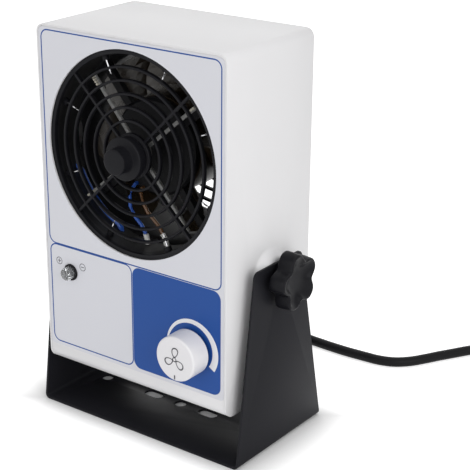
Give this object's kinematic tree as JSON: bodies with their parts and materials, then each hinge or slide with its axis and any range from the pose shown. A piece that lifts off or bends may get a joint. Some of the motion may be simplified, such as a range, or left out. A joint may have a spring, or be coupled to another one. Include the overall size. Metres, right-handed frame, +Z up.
{
  "type": "ionizing air blower",
  "caption": "Upright sheet-metal air blower with a round ionizing outlet grille, point cleaner, speed knob and lamp, tilting between the arms of a U-shaped stand, with a coiled power cord.",
  "frame": {"origin": "centre of the stand's underside, on the axis of its middle hole, on the table", "axes": "+X to the blower's right-hand side seen from the front, -Y the way the air leaves, +Z up"},
  "size_m": [0.3121, 0.2762, 0.254],
  "materials": {
    "stand_paint": "fine satin black powder coat",
    "white_paint": "smooth satin off-white powder coat",
    "chassis_paint": "smooth satin off-white powder coat",
    "overlay_film": "printed matt film",
    "black_plastic": "moulded satin black",
    "duct_plastic": "moulded satin black insulator",
    "socket_plastic": "satin",
    "needle_steel": "polished",
    "blue_wire": "extruded",
    "brown_wire": "extruded",
    "sleeve_white": "matt",
    "cleaner_black": "moulded satin black",
    "cleaner_nylon": "natural nylon",
    "bristle": "nylon bristle",
    "fan_alloy": "black painted die casting",
    "motor_metal": "black painted",
    "steel": "zinc plated",
    "rotor_plastic": "glass-filled black plastic",
    "module_resin": "potting compound",
    "board": "solder resist",
    "component": "moulded",
    "control_case": "moulded",
    "knob_white": "moulded fine satin",
    "bezel_black": "moulded gloss",
    "lens_clear": "clear diffusing lens",
    "brass": "plain",
    "star_black": "moulded satin black",
    "washer_nylon": "nylon",
    "cord_rubber": "matt extruded sheath",
    "plug_rubber": "moulded",
    "plug_metal": "nickel plated"
  },
  "bodies": {
    "stand": {"stand_bracket": "stand_paint", "cord_lead": "cord_rubber", "cord_coil": "cord_rubber", "cord_tail": "cord_rubber", "plug_body": "plug_rubber", "plug_pins": "plug_metal"},
    "housing": {"chassis": "chassis_paint", "cover": "white_paint", "cover_screws": "steel", "front_overlay": "overlay_film", "outlet_grille": "black_plastic", "duct_ring": "duct_plastic", "emitter_sockets": "socket_plastic", "emitter_needles": "needle_steel", "hv_lead": "blue_wire", "lead_sleeves": "sleeve_white", "fan_frame": "fan_alloy", "fan_motor": "motor_metal", "fan_bearings": "steel", "fan_studs": "steel", "fan_spacers": "steel", "fan_nuts": "steel", "fan_lead_blue": "blue_wire", "fan_lead_brown": "brown_wire", "rear_guard": "black_plastic", "guard_screws": "steel", "guard_nuts": "steel", "hv_module": "module_resin", "circuit_board": "board", "board_posts": "brass", "board_parts": "component", "speed_control": "control_case", "control_nut": "steel", "lamp_bezel": "bezel_black", "lamp_lens": "lens_clear", "lamp_nut": "steel", "fuse_holder": "bezel_black", "earth_stud": "brass", "cord_gland": "black_plastic", "gland_nut": "black_plastic", "tilt_nuts": "steel", "tilt_washers": "washer_nylon"},
    "impeller": {"fan_rotor": "rotor_plastic", "fan_shaft": "steel"},
    "cleaner": {"cleaner_knob": "cleaner_black", "cleaner_spider": "cleaner_nylon", "cleaner_bristles": "bristle"},
    "speed_dial": {"speed_knob": "knob_white"},
    "right_clamp": {"right_tilt_knob": "star_black", "right_tilt_stud": "steel"},
    "left_clamp": {"left_tilt_knob": "star_black", "left_tilt_stud": "steel"}
  },
  "joints": [
    {"name": "housing_tilt", "type": "hinge", "parent": "stand", "child": "housing", "pos_m": [0, -0.004, 0.1135], "axis": [1, 0, 0], "range_deg": [-45, 45], "deforming": ["cord_lead"]},
    {"name": "impeller_spin", "type": "hinge", "parent": "housing", "child": "impeller", "pos_m": [0, 0, 0.1834], "axis": [0, -1, 0], "continuous": true},
    {"name": "cleaner_turn", "type": "hinge", "parent": "housing", "child": "cleaner", "pos_m": [0, -0.045, 0.1834], "axis": [0, -1, 0], "continuous": true},
    {"name": "speed_turn", "type": "hinge", "parent": "housing", "child": "speed_dial", "pos_m": [0.0461, -0.05, 0.0719], "axis": [0, 1, 0], "range_deg": [0, 300]},
    {"name": "right_knob_turn", "type": "hinge", "parent": "housing", "child": "right_clamp", "pos_m": [0.08, -0.004, 0.1135], "axis": [1, 0, 0], "range_deg": [0, 180]},
    {"name": "left_knob_turn", "type": "hinge", "parent": "housing", "child": "left_clamp", "pos_m": [-0.08, -0.004, 0.1135], "axis": [-1, 0, 0], "range_deg": [0, 180]}
  ]
}
